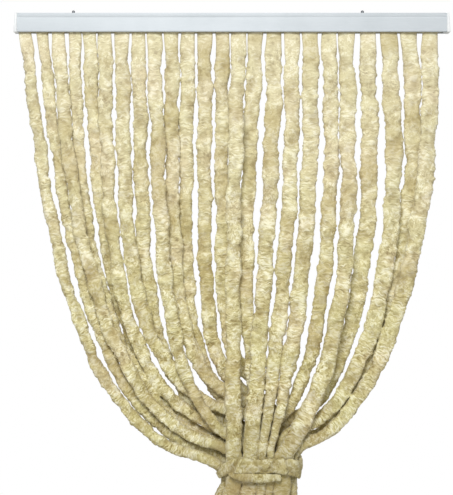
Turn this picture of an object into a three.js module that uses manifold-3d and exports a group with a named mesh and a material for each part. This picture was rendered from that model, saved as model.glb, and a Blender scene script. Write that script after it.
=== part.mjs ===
// Chenille fly curtain on its rail: 24 loose strands hang from a slotted aluminium rail,
// are gathered a little right of the middle and held together by a tie of the same yarn.
// Units are millimetres. X runs along the rail, -Y is the front and +Z is up.
// The origin is the middle of the rail's flat back face.
import * as THREE from "three";
import { mergeVertices } from "three/addons/utils/BufferGeometryUtils.js";
import Module from "manifold-3d";

const wasm = await Module();
wasm.setup();

// Rail: a C-shaped channel, open along a slot in its underside
const RAIL_LENGTH = 886;
const RAIL_HEIGHT = 39;
const RAIL_DEPTH = 25;
const RAIL_WALL = 1.5;
const SLOT_WIDTH = 14;
const GROOVE_DROP = 8;
const GROOVE_HEIGHT = 2;
const GROOVE_DEPTH = 0.6;
const BEAD_HEIGHT = 4;
const BEAD_PROUD = 0.8;

// End caps: a plate that is thicker at the bottom, with a plug inside the channel
const CAP_TOP = 4;
const CAP_BOTTOM = 7;
const CAP_RIM = 0.5;
const PLUG_LENGTH = 6;
const PLUG_CLEARANCE = 0.4;

// Hanging studs: a round head above the rail, a shank through its top and a washer inside
const STUD_PLACES = { hanger_left: -328, hanger_right: 270 };
const STUD_HEAD_RADIUS = 3.2;
const STUD_HEAD_HEIGHT = 7;
const STUD_SHANK_RADIUS = 1.8;
const STUD_HOLE_RADIUS = 2.1;
const STUD_WASHER_RADIUS = 5;
const STUD_WASHER_HEIGHT = 2;
const STUD_SIDES = 16;

// Gap that neighbouring pieces keep
const GAP = 0.3;

// Root strip: the strands are sewn to it, and it rests on the channel's lips
const STRIP_WIDTH = 20;
const STRIP_THICKNESS = 3;
const STRIP_END_GAP = 2;
const ROOT_INSET = 1;
const ROOT_THICKNESS = 9.6;
const ROOT_FADE = 45;

// Strands: all cut to one length, fuller at the top, each wavy in width, place and turn.
// The phase of a strand's waves steps by the golden angle, so that no two look alike.
const STRAND_THICKNESS = 16.3;
const CUT_LENGTH = 1950;
const TOP_FULLNESS = 1.1;
const TOP_FADE = 380;
const WIDTH_WAVE = 0.07;
const WIDTH_WAVE_LENGTH = 118;
const SWAY = 1.6;
const SWAY_LENGTH = 190;
const TURN_MIDDLE = Math.PI / 4;
const TURN_SWING = 0.5;
const TURN_LENGTH = 260;
const GOLDEN_ANGLE = Math.PI * (3 - Math.sqrt(5));

// Route of a strand: angles along its sweep in degrees, then a softened corner into the tie
const ROUTE_ANGLES = [0, 10, 20, 29, 37, 45, 52, 60, 68, 76, 84];
const CORNER_DROP = 16;
const CORNER_SHORT = 0.018;
const CORNER_END = 0.4;
const ARC_DIVISIONS = 600;
const SPAN_STEPS = 28;
const CROWDING = 1.25;

// Neck: where the strands are drawn together inside the tie. A strand of each layer starts
// to narrow NARROWING above it, and from NECK_FADE to NECK_SOFT above it its waves die away.
const NECK_X = 55;
const NECK_Y = -52;
const NARROWING = { front: 280, upper: 400, lower: 400, back: 400 };
const NECK_FADE = 200;
const NECK_SOFT = 70;

// Tail: just below the tie the strands spread, drift to the left and fill most of the room
// that this gives them
const TAIL_SPREAD = 1.22;
const TAIL_SPREAD_START = 10;
const TAIL_SPREAD_END = 70;
const TAIL_DRIFT = -12;
const TAIL_FILL = 0.93;
const TAIL_SWAY = 0.4;
const TAIL_DROPS = [20, 40, 60, 80, 140, 260, 480];
const TAIL_STEPS = 12;

// Layers of strands from front to back, and how far down they have parted
const LAYERS = { front: -1.5, upper: -0.5, lower: 0.5, back: 1.5 };
const LAYER_PITCH = 17;
const PARTING_START = 0.02;
const PARTING_END = 0.24;
const LEANING_END = 0.36;

// Tie: an upper wrap all round the neck, thinner and lower on the left where strands pass
// over it and fuller on the right, and a slimmer second wrap low on its front
const TIE_TOP = -886;
const TIE_HEIGHT = 31;
const TIE_HALF_WIDTH = 78.5;
const TIE_HALF_DEPTH = 39.5;
const TIE_SQUARENESS = 4.4;
const TIE_THICKNESS = 10;
const RIGHT_SWELL = 12;
const LEFT_DROP = 34;
const LEFT_PINCH = 20;
const RIGHT_SINK = 0.85;
const TIE_STEPS = 48;
const TIE_SECTION_SIDES = 8;
const SECOND_WRAP_HEIGHT = 19;
const SECOND_WRAP_THICKNESS = 10;
const SECOND_WRAP_SAG = 24;
const SECOND_WRAP_REACH = 0.56;
const SECOND_WRAP_MIDDLE = -Math.PI / 2 - 0.12;
const SECOND_WRAP_TAPER = 0.45;
const SECOND_WRAP_STEPS = 20;

// One row for each strand, from left to right:
// root    its place along the rail
// width   its usual width in the open
// bow     how long it hangs straight before it swings in, 2 is a quarter ellipse
// close   0.5 swings in almost level, 1 comes in on a slope
// lean    how far it drifts to the right halfway down
// layer   its layer, see LAYERS
// slot    its place in the neck, from the neck's middle
// snug    its width inside the tie
// enter   the height at which it turns down into the tie
const STRANDS = [
  { root: -427, width: 29, bow: 2.6, close: 0.5, lean: 39, layer: "upper", slot: -65, snug: 20.2, enter: -896 },
  { root: -393, width: 26, bow: 2.35, close: 0.5, lean: 27, layer: "lower", slot: -65, snug: 20.2, enter: -884 },
  { root: -360, width: 27, bow: 2.45, close: 0.5, lean: 20, layer: "upper", slot: -43, snug: 20.2, enter: -871 },
  { root: -325, width: 24, bow: 2.55, close: 0.5, lean: 4, layer: "lower", slot: -43, snug: 20.2, enter: -869 },
  { root: -296, width: 28, bow: 2.8, close: 0.5, lean: 13, layer: "back", slot: -52, snug: 25, enter: -858 },
  { root: -264, width: 28, bow: 3.75, close: 0.5, lean: 7, layer: "lower", slot: -22, snug: 20.2, enter: -842 },
  { root: -228, width: 29, bow: 4.2, close: 0.5, lean: 6, layer: "lower", slot: 0, snug: 20.2, enter: -808 },
  { root: -194, width: 29, bow: 4.8, close: 0.5, lean: 7, layer: "back", slot: -26, snug: 25, enter: -826 },
  { root: -161, width: 29, bow: 3.6, close: 0.5, lean: 10, layer: "upper", slot: -22, snug: 20.2, enter: -856 },
  { root: -126, width: 29, bow: 6, close: 0.5, lean: 4, layer: "lower", slot: 22, snug: 20.2, enter: -788 },
  { root: -91, width: 29, bow: 6.5, close: 0.5, lean: -6, layer: "back", slot: 0, snug: 25, enter: -806 },
  { root: -56, width: 29, bow: 8, close: 0.5, lean: -1, layer: "back", slot: 26, snug: 25, enter: -780 },
  { root: -20, width: 29, bow: 10, close: 0.5, lean: 0, layer: "back", slot: 52, snug: 25, enter: -754 },
  { root: 14, width: 30, bow: 1.5, close: 1, lean: -7, layer: "front", slot: -51, snug: 31.5, enter: -880 },
  { root: 49, width: 30, bow: 7, close: 0.5, lean: -22, layer: "upper", slot: 0, snug: 20.2, enter: -830 },
  { root: 87, width: 32, bow: 1.5, close: 1, lean: 1, layer: "front", slot: -19, snug: 31, enter: -880 },
  { root: 124, width: 30, bow: 2, close: 1, lean: 1, layer: "front", slot: 5.3, snug: 16.4, enter: -880 },
  { root: 161, width: 33, bow: 2.6, close: 1, lean: 0, layer: "front", slot: 21.1, snug: 14, enter: -880 },
  { root: 200.5, width: 30, bow: 2.9, close: 0.5, lean: 4, layer: "upper", slot: 22, snug: 20.2, enter: -818 },
  { root: 237, width: 32, bow: 4.3, close: 1, lean: 0, layer: "front", slot: 45.5, snug: 34, enter: -890 },
  { root: 281, width: 34, bow: 3.3, close: 0.5, lean: 3, layer: "lower", slot: 43.4, snug: 20.2, enter: -820 },
  { root: 324, width: 34, bow: 3.3, close: 0.5, lean: 9, layer: "upper", slot: 43, snug: 20.2, enter: -842 },
  { root: 365, width: 34, bow: 2.3, close: 0.5, lean: 17, layer: "lower", slot: 65, snug: 20.2, enter: -862 },
  { root: 410, width: 33, bow: 2.1, close: 0.5, lean: -1, layer: "upper", slot: 65, snug: 20.2, enter: -866 },
];

// Derived places
const RAIL_TOP = RAIL_HEIGHT / 2;
const RAIL_BOTTOM = -RAIL_HEIGHT / 2;
const RAIL_MIDDLE_Y = -RAIL_DEPTH / 2;
const STRIP_BOTTOM = RAIL_BOTTOM + RAIL_WALL + GAP;
const ROOT_TOP = STRIP_BOTTOM + ROOT_INSET;
const TIE_MIDDLE = TIE_TOP - TIE_HEIGHT / 2;
const TIE_LOWEST = TIE_TOP - TIE_HEIGHT - SECOND_WRAP_SAG / 2;

const MATERIALS = {
  rail: new THREE.MeshStandardMaterial({ color: 0xd9e0e2, roughness: 0.35, metalness: 0.3 }),
  cap: new THREE.MeshStandardMaterial({ color: 0xe9ecec, roughness: 0.5, metalness: 0 }),
  steel: new THREE.MeshStandardMaterial({ color: 0x6f7275, roughness: 0.4, metalness: 1 }),
  chenille: new THREE.MeshStandardMaterial({ color: 0xdccf9f, roughness: 0.95, metalness: 0 }),
  tie: new THREE.MeshStandardMaterial({ color: 0xd3c695, roughness: 0.95, metalness: 0 }),
};

// Smooth step from 0 to 1 as value goes from start to end.
function ease(value, start, end) {
  const t = Math.min(1, Math.max(0, (value - start) / (end - start)));
  return t * t * (3 - 2 * t);
}

function mix(a, b, share) {
  return a + (b - a) * share;
}

// A closed geometry as a solid that can be joined and cut.
function solidOf(geometry) {
  const bare = geometry.clone();
  bare.deleteAttribute("normal");
  bare.deleteAttribute("uv");
  const merged = mergeVertices(bare, 1e-4);
  const vertProperties = new Float32Array(merged.attributes.position.array);
  const triVerts = new Uint32Array(merged.index.array);
  return new wasm.Manifold(new wasm.Mesh({ numProp: 3, vertProperties, triVerts }));
}

function geometryOf(solid) {
  const mesh = solid.getMesh();
  const geometry = new THREE.BufferGeometry();
  geometry.setAttribute("position", new THREE.BufferAttribute(mesh.vertProperties, 3));
  geometry.setIndex(new THREE.BufferAttribute(mesh.triVerts, 1));
  return geometry;
}

function named(name, geometry, material) {
  const mesh = new THREE.Mesh(geometry, material);
  mesh.name = name;
  return mesh;
}

// A closed skin over rings that run clockwise about their way of travel, with flat ends,
// or without ends where the last ring leads back to the first.
function skin(rings, closed = false) {
  const sides = rings[0].length;
  const positions = rings.flat().flatMap((point) => [point.x, point.y, point.z]);
  const index = [];
  const spans = closed ? rings.length : rings.length - 1;
  for (let i = 0; i < spans; i++) {
    const near = i * sides;
    const far = ((i + 1) % rings.length) * sides;
    for (let k = 0; k < sides; k++) {
      const next = (k + 1) % sides;
      index.push(near + k, far + k, near + next);
      index.push(near + next, far + k, far + next);
    }
  }
  if (!closed) {
    const last = (rings.length - 1) * sides;
    for (let k = 1; k < sides - 1; k++) {
      index.push(0, k, k + 1);
      index.push(last, last + k + 1, last + k);
    }
  }
  const geometry = new THREE.BufferGeometry();
  geometry.setAttribute("position", new THREE.Float32BufferAttribute(positions, 3));
  geometry.setIndex(index);
  return geometry;
}

// An outline in the Y-Z plane, pulled along X from start to end.
function alongRail(outline, start, end) {
  const options = { depth: end - start, bevelEnabled: false };
  const geometry = new THREE.ExtrudeGeometry(new THREE.Shape(outline), options);
  geometry.rotateX(Math.PI / 2);
  geometry.rotateZ(Math.PI / 2);
  return geometry.translate(start, 0, 0);
}

function box(low, high) {
  const size = new THREE.Vector3().subVectors(high, low);
  const middle = new THREE.Vector3().addVectors(low, high).multiplyScalar(0.5);
  return new THREE.BoxGeometry(size.x, size.y, size.z).translate(middle.x, middle.y, middle.z);
}

// Rail

function railOutline() {
  const front = -RAIL_DEPTH;
  const lipFront = RAIL_MIDDLE_Y - SLOT_WIDTH / 2;
  const lipBack = RAIL_MIDDLE_Y + SLOT_WIDTH / 2;
  const innerFront = front + RAIL_WALL;
  const innerBack = -RAIL_WALL;
  const innerTop = RAIL_TOP - RAIL_WALL;
  const lipTop = RAIL_BOTTOM + RAIL_WALL;
  const grooveTop = RAIL_TOP - GROOVE_DROP;
  const grooveBottom = grooveTop - GROOVE_HEIGHT;
  const beadTop = RAIL_BOTTOM + BEAD_HEIGHT;
  const points = [
    [0, RAIL_TOP],
    [front, RAIL_TOP],
    [front, grooveTop],
    [front + GROOVE_DEPTH, grooveTop],
    [front + GROOVE_DEPTH, grooveBottom],
    [front, grooveBottom],
    [front, beadTop + BEAD_PROUD],
    [front - BEAD_PROUD, beadTop],
    [front - BEAD_PROUD, RAIL_BOTTOM + BEAD_PROUD],
    [front, RAIL_BOTTOM],
    [lipFront, RAIL_BOTTOM],
    [lipFront, lipTop],
    [innerFront, lipTop],
    [innerFront, innerTop],
    [innerBack, innerTop],
    [innerBack, lipTop],
    [lipBack, lipTop],
    [lipBack, RAIL_BOTTOM],
    [0, RAIL_BOTTOM],
  ];
  return points.map(([y, z]) => new THREE.Vector2(y, z));
}

function studHole(x) {
  const radius = STUD_HOLE_RADIUS;
  const geometry = new THREE.CylinderGeometry(radius, radius, 3 * RAIL_WALL, STUD_SIDES);
  return geometry.rotateX(Math.PI / 2).translate(x, RAIL_MIDDLE_Y, RAIL_TOP);
}

function railGeometry() {
  let rail = solidOf(alongRail(railOutline(), -RAIL_LENGTH / 2, RAIL_LENGTH / 2));
  for (const x of Object.values(STUD_PLACES)) rail = rail.subtract(solidOf(studHole(x)));
  return geometryOf(rail);
}

// End cap for the right end; the left one is its mirror image.
function capGeometry(side) {
  const inner = RAIL_LENGTH / 2 + GAP;
  const low = RAIL_BOTTOM - CAP_RIM;
  const high = RAIL_TOP + CAP_RIM;
  const depth = RAIL_DEPTH + BEAD_PROUD + CAP_RIM;
  const profile = [
    [inner, low],
    [inner + CAP_BOTTOM, low],
    [inner + CAP_TOP, high],
    [inner, high],
  ].map(([x, z]) => new THREE.Vector2(side * x, z));
  if (side < 0) profile.reverse();
  const plate = new THREE.ExtrudeGeometry(new THREE.Shape(profile), { depth, bevelEnabled: false });
  plate.rotateX(Math.PI / 2);
  const reach = RAIL_WALL + PLUG_CLEARANCE;
  const ends = [side * (inner - PLUG_LENGTH), side * (inner + CAP_TOP / 2)].sort((a, b) => a - b);
  const plug = box(
    new THREE.Vector3(ends[0], -RAIL_DEPTH + reach, STRIP_BOTTOM + STRIP_THICKNESS + GAP),
    new THREE.Vector3(ends[1], -reach, RAIL_TOP - reach),
  );
  return geometryOf(solidOf(plate).add(solidOf(plug)));
}

// Hanging stud, turned round its own axis

function studGeometry(x) {
  const washerTop = -RAIL_WALL - GAP;
  const washerBottom = washerTop - STUD_WASHER_HEIGHT;
  const profile = [
    [0, washerBottom],
    [STUD_WASHER_RADIUS, washerBottom],
    [STUD_WASHER_RADIUS, washerTop],
    [STUD_SHANK_RADIUS, washerTop],
    [STUD_SHANK_RADIUS, GAP],
    [STUD_HEAD_RADIUS, GAP],
    [STUD_HEAD_RADIUS, STUD_HEAD_HEIGHT * 0.6],
    [STUD_HEAD_RADIUS * 0.7, STUD_HEAD_HEIGHT * 0.9],
    [0, STUD_HEAD_HEIGHT],
  ].map(([radius, height]) => new THREE.Vector2(radius, height));
  const geometry = new THREE.LatheGeometry(profile, STUD_SIDES);
  return geometry.rotateX(Math.PI / 2).translate(x, RAIL_MIDDLE_Y, RAIL_TOP);
}

// Strands

// Depth of a strand at a height: the layers part below the rail, and they all lean forward
// to the neck, which stands clear of the wall.
function depthAt(strand, z, spread) {
  const down = (ROOT_TOP - z) / (ROOT_TOP - TIE_TOP);
  const parted = LAYERS[strand.layer] * LAYER_PITCH * ease(down, PARTING_START, PARTING_END);
  return mix(RAIL_MIDDLE_Y, NECK_Y, ease(down, PARTING_START, LEANING_END)) + parted * spread;
}

// The points of the line that a strand hangs on, down to the underside of the tie.
function hangingPoints(strand) {
  const neckX = NECK_X + strand.slot;
  const fall = ROOT_TOP - strand.enter;
  const points = ROUTE_ANGLES.map((degrees) => {
    const angle = THREE.MathUtils.degToRad(degrees);
    const down = Math.sin(angle) ** (2 / strand.bow);
    const across = Math.cos(angle) ** (2 * strand.close);
    const x = mix(neckX, strand.root, across) + 4 * strand.lean * down * (1 - down);
    const z = ROOT_TOP - fall * down;
    return new THREE.Vector3(x, depthAt(strand, z, 1), z);
  });
  const cornerX = mix(neckX, strand.root, CORNER_SHORT);
  const cornerZ = strand.enter - CORNER_DROP;
  points.push(new THREE.Vector3(cornerX, depthAt(strand, cornerZ, 1), cornerZ));
  for (const z of [mix(cornerZ, TIE_LOWEST, CORNER_END), TIE_LOWEST]) {
    points.push(new THREE.Vector3(neckX, depthAt(strand, z, 1), z));
  }
  return points;
}

// The points below the tie, where the strands spread a little and end at their cut length.
function tailPoints(strand, length) {
  return [...TAIL_DROPS, length].map((drop) => {
    const opened = ease(drop, TAIL_SPREAD_START, TAIL_SPREAD_END);
    const spread = mix(1, TAIL_SPREAD, opened);
    const x = NECK_X + strand.slot * spread + TAIL_DRIFT * opened;
    const z = TIE_LOWEST - drop;
    return new THREE.Vector3(x, depthAt(strand, z, spread), z);
  });
}

// Four corners that always touch a box of the given width and thickness, whatever their turn.
function section(middle, side, width, thickness, turn) {
  const reach = Math.max(Math.abs(Math.cos(turn)), Math.abs(Math.sin(turn)));
  return [0, 1, 2, 3].map((corner) => {
    const angle = turn + (corner * Math.PI) / 2;
    const across = (width / 2) * (Math.cos(angle) / reach);
    const deep = (thickness / 2) * (Math.sin(angle) / reach);
    return middle.clone().addScaledVector(side, across).add(new THREE.Vector3(0, deep, 0));
  });
}

function strandGeometry(strand, number) {
  const hanging = hangingPoints(strand);
  const tieArc = new THREE.CatmullRomCurve3(hanging).getLength();
  const tail = tailPoints(strand, CUT_LENGTH - tieArc);
  const route = new THREE.CatmullRomCurve3([...hanging, ...tail]);
  route.arcLengthDivisions = ARC_DIVISIONS;
  const phase = number * GOLDEN_ANGLE;
  const rings = stations(tieArc / CUT_LENGTH).map((share) => {
    const arc = share * CUT_LENGTH;
    const wave = (length, shift) => Math.sin((2 * Math.PI * arc) / length + shift);
    const below = arc > tieArc;
    const rise = ease(arc, tieArc - NECK_FADE, tieArc - NECK_SOFT);
    const tied = rise * (1 - ease(arc, tieArc, tieArc + NECK_FADE));
    const loose = 1 - tied;
    const middle = route.getPointAt(share);
    const tangent = route.getTangentAt(share);
    const side = new THREE.Vector3(-tangent.z, 0, tangent.x).normalize();
    const sway = SWAY * wave(SWAY_LENGTH, 2 * phase) * loose * ease(arc, 0, ROOT_FADE);
    middle.addScaledVector(side, sway * (below ? TAIL_SWAY : 1));
    const full = mix(TOP_FULLNESS, 1, ease(arc, 0, TOP_FADE));
    const hung = strand.width * full * (1 + WIDTH_WAVE * wave(WIDTH_WAVE_LENGTH, phase));
    const tailed = Math.min(strand.width, strand.snug * TAIL_SPREAD * TAIL_FILL);
    const opened = ease(arc - tieArc, TAIL_SPREAD_START, TAIL_SPREAD_END);
    const narrowing = ease(arc, tieArc - NARROWING[strand.layer], tieArc - NECK_SOFT);
    const narrow = below ? 1 - opened : narrowing;
    const width = mix(below ? tailed : hung, strand.snug, narrow);
    const thickness = mix(ROOT_THICKNESS, STRAND_THICKNESS, ease(arc, ROOT_FADE / 3, ROOT_FADE));
    const turn = TURN_MIDDLE + loose * TURN_SWING * wave(TURN_LENGTH, 3 * phase);
    return section(middle, side, width, thickness, turn);
  });
  return skin(rings);
}

// Shares of the cut length at which a strand has a ring: closer together towards the neck.
function stations(tieShare) {
  const span = Array.from({ length: SPAN_STEPS }, (_, i) => {
    return tieShare * (1 - (1 - i / SPAN_STEPS) ** CROWDING);
  });
  const tail = Array.from({ length: TAIL_STEPS + 1 }, (_, i) => mix(tieShare, 1, i / TAIL_STEPS));
  return [...span, ...tail];
}

function strandsGeometry() {
  const reach = RAIL_LENGTH / 2 - PLUG_LENGTH - STRIP_END_GAP;
  const strip = box(
    new THREE.Vector3(-reach, RAIL_MIDDLE_Y - STRIP_WIDTH / 2, STRIP_BOTTOM),
    new THREE.Vector3(reach, RAIL_MIDDLE_Y + STRIP_WIDTH / 2, STRIP_BOTTOM + STRIP_THICKNESS),
  );
  let joined = solidOf(strip);
  STRANDS.forEach((strand, number) => {
    joined = joined.add(solidOf(strandGeometry(strand, number)));
  });
  return geometryOf(joined);
}

// Tie

// A rounded box outline round the neck, grown outwards by out.
function neckOutline(angle, out) {
  const bend = (value) => Math.sign(value) * Math.abs(value) ** (2 / TIE_SQUARENESS);
  return new THREE.Vector3(
    NECK_X + (TIE_HALF_WIDTH + out) * bend(Math.cos(angle)),
    NECK_Y + (TIE_HALF_DEPTH + out) * bend(Math.sin(angle)),
    0,
  );
}

// Rounded section of a wrap at one angle round the neck.
function wrapRing(angle, height, thickness, z) {
  return Array.from({ length: TIE_SECTION_SIDES }, (_, k) => {
    const turn = ((k + 0.5) * 2 * Math.PI) / TIE_SECTION_SIDES;
    const out = (thickness / 2) * (1 + Math.cos(turn) / Math.cos(Math.PI / TIE_SECTION_SIDES));
    const up = (height / 2) * (Math.sin(turn) / Math.cos(Math.PI / TIE_SECTION_SIDES));
    const point = neckOutline(angle, out);
    point.z = z + up;
    return point;
  });
}

function tieGeometry() {
  const upper = Array.from({ length: TIE_STEPS }, (_, i) => {
    const angle = (2 * Math.PI * i) / TIE_STEPS;
    const swell = RIGHT_SWELL * Math.max(0, Math.cos(angle)) ** 3;
    const hug = Math.sin(angle) < 0 ? 3 : 2;
    const left = Math.max(0, -Math.cos(angle)) ** hug;
    const drop = (LEFT_DROP - LEFT_PINCH / 2) * left + RIGHT_SINK * swell;
    const height = TIE_HEIGHT - LEFT_PINCH * left + swell;
    return wrapRing(angle, height, TIE_THICKNESS, TIE_MIDDLE - drop);
  });
  const second = Array.from({ length: SECOND_WRAP_STEPS + 1 }, (_, i) => {
    const share = mix(-1, 1, i / SECOND_WRAP_STEPS);
    const angle = SECOND_WRAP_MIDDLE + share * SECOND_WRAP_REACH;
    const sag = SECOND_WRAP_SAG * Math.cos((share * Math.PI) / 2) ** 0.8;
    const height = SECOND_WRAP_HEIGHT * (1 - SECOND_WRAP_TAPER * share * share);
    return wrapRing(angle, height, SECOND_WRAP_THICKNESS, TIE_MIDDLE - sag);
  });
  return geometryOf(solidOf(skin(upper, true)).add(solidOf(skin(second))));
}

const curtain = new THREE.Group();
curtain.add(named("rail", railGeometry(), MATERIALS.rail));
curtain.add(named("end_cap_left", capGeometry(-1), MATERIALS.cap));
curtain.add(named("end_cap_right", capGeometry(1), MATERIALS.cap));
for (const [name, x] of Object.entries(STUD_PLACES)) {
  curtain.add(named(name, studGeometry(x), MATERIALS.steel));
}
curtain.add(named("strands", strandsGeometry(), MATERIALS.chenille));
curtain.add(named("tie", tieGeometry(), MATERIALS.tie));
export default curtain;
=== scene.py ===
# %% [markdown]
# # A chenille fly curtain
# Twenty-four thick chenille strands hang from a slotted aluminium rail, drawn together and
# tied a little right of the middle. The solids of the CAD model give each piece its size
# and place, and this lesson gives it its look. The solids are measured in millimetres,
# and Blender's unit is the metre.

# %% Load the frame
import math
from collections import namedtuple

import bpy
import numpy as np
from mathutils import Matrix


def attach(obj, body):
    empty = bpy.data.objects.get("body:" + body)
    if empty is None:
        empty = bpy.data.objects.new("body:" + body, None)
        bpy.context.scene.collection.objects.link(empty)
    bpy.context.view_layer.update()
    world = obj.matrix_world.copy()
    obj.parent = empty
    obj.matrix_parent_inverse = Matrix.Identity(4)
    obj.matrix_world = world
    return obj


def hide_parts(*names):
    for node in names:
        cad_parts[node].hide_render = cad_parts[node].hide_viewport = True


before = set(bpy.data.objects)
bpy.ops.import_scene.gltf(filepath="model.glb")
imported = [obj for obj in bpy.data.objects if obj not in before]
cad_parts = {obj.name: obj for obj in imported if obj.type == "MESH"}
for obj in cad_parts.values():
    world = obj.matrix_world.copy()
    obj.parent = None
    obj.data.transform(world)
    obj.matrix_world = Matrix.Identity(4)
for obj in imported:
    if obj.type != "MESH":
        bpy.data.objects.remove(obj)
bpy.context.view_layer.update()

MM = 0.001
print("nodes:", sorted(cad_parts))

# %% [markdown]
# The photograph is taken level, from about 2.5 m in front of the rail, so the dark
# underside of the rail just shows and the gathered strands look a little nearer.
# One pixel on the rail's face is 2.06 mm, which fixes the camera's height and lens.
# A long lens from far away would be simpler, but it would hide the rail's underside.

# %% Camera
PIXEL = 2.06 * MM
PHOTO_WIDTH, PHOTO_HEIGHT = 453, 495
RAIL_CENTRE_PIXEL = (232, 22.2)
CAMERA_DISTANCE = 2.5
RAIL_FACE = -25 * MM
SENSOR_HEIGHT = 24

camera_x = (PHOTO_WIDTH / 2 - RAIL_CENTRE_PIXEL[0]) * PIXEL
camera_z = (RAIL_CENTRE_PIXEL[1] - PHOTO_HEIGHT / 2) * PIXEL
bpy.ops.object.camera_add(
    location=(camera_x, RAIL_FACE - CAMERA_DISTANCE, camera_z),
    rotation=(math.pi / 2, 0, 0),
)
camera = bpy.context.object
camera.name = "photo_camera"
camera.data.sensor_fit = "VERTICAL"
camera.data.sensor_height = SENSOR_HEIGHT
camera.data.lens = SENSOR_HEIGHT * CAMERA_DISTANCE / (PHOTO_HEIGHT * PIXEL)
bpy.context.scene.camera = camera
print("camera at", [round(v, 3) for v in camera.location])
print("lens, mm:", round(camera.data.lens, 1))

# %% [markdown]
# The background of the photograph is white, and the light comes softly from the front and
# from above, so each strand is bright along its middle and dark along its edges. One
# large area light high in front does most of that. A faint one on the right softens its
# shadows, and one behind keeps the curtain's back as bright as its front. The world is
# white for the camera alone and much dimmer as a light, because a bright world would fill
# the hollows between the strands. The standard view keeps white at white and straw as
# yellow as it is.

# %% Lights and world
WORLD_LIGHT = 0.36


def soft_light(name, place, target, size, power):
    """A square area light at a place, turned towards a target."""
    bpy.ops.object.light_add(type="AREA", location=place)
    light = bpy.context.object
    light.name = name
    light.data.size = size
    light.data.energy = power
    aim = light.location - light.location.__class__(target)
    light.rotation_euler = aim.to_track_quat("Z", "Y").to_euler()


soft_light("key_light", place=(-0.5, -2.9, 1.6), target=(0, 0, -1.2), size=1.3, power=97)
soft_light("fill_light", place=(1.4, -2.5, 0.5), target=(0, 0, -0.4), size=1.6, power=5)
soft_light("back_light", place=(0.6, 2.8, 1.4), target=(0, 0, -1.1), size=1.5, power=40)

scene = bpy.context.scene
scene.view_settings.view_transform = "Standard"
scene.world = scene.world or bpy.data.worlds.new("studio")
scene.world.use_nodes = True
sky = scene.world.node_tree
background = sky.nodes["Background"]
background.inputs["Color"].default_value = (1, 1, 1, 1)
seen = sky.nodes.new("ShaderNodeLightPath")
strength = sky.nodes.new("ShaderNodeMapRange")
strength.inputs["To Min"].default_value = WORLD_LIGHT
strength.inputs["To Max"].default_value = 1.0
sky.links.new(seen.outputs["Is Camera Ray"], strength.inputs["Value"])
sky.links.new(strength.outputs["Result"], background.inputs["Strength"])

# %% [markdown]
# A material is easier to read as arithmetic than as a picture of boxes and wires. A small
# class wraps a socket, and each sign on it adds the Math node that does the sum. The
# nodes could be joined by hand in the editor, but a sum in one line is quicker to change.

# %% Shader arithmetic
def feed(slot, value):
    """Puts a wire or a plain value into a socket."""
    if isinstance(value, Wire):
        slot.id_data.links.new(value.socket, slot)
    else:
        slot.default_value = value


class Wire:
    """A value that runs through a shader."""

    def __init__(self, socket):
        self.socket = socket

    def worked(self, operation, *values):
        """Adds the Math node for an operation on some values."""
        node = self.socket.id_data.nodes.new("ShaderNodeMath")
        node.operation = operation
        for slot, value in zip(node.inputs, values):
            feed(slot, value)
        return Wire(node.outputs[0])

    def __add__(self, other):
        return self.worked("ADD", self, other)

    def __sub__(self, other):
        return self.worked("SUBTRACT", self, other)

    def __rsub__(self, other):
        return self.worked("SUBTRACT", other, self)

    def __mul__(self, other):
        return self.worked("MULTIPLY", self, other)

    __radd__ = __add__
    __rmul__ = __mul__

    def sine(self):
        return self.worked("SINE", self)

    def between(self, low, high):
        """0 below low, 1 above high, and smooth in between."""
        node = self.socket.id_data.nodes.new("ShaderNodeMapRange")
        node.interpolation_type = "SMOOTHSTEP"
        feed(node.inputs["Value"], self)
        node.inputs["From Min"].default_value = low
        node.inputs["From Max"].default_value = high
        return Wire(node.outputs["Result"])


print("signs that add a node:", "+ - *")

# %% [markdown]
# Colours are read off a screen, where they are squeezed to suit the eye, so they are
# turned into amounts of light first. Blender's colour picker does the same with a hex
# code, but here a tint can take its share of each amount on the way.

# %% Colours
def as_light(colour, tint=(1, 1, 1)):
    """A screen colour, from 0 to 255, as the light that Blender works with, tinted."""
    shares = [v / 255 for v in colour]
    lights = [s / 12.92 if s <= 0.04045 else ((s + 0.055) / 1.055) ** 2.4 for s in shares]
    return (*(v * t for v, t in zip(lights, tint)), 1)


print("a pale straw as light:", [round(v, 3) for v in as_light((232, 220, 172))])

# %% [markdown]
# Another class holds a material and adds every other kind of node in one way: its kind,
# its settings, and what its sockets get. Noise, ramps and washes come up in each finish,
# so they have short names of their own, and so have the sockets that a finish feeds.
# Their colours are screen colours, which the finish tints and turns into light.

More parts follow.
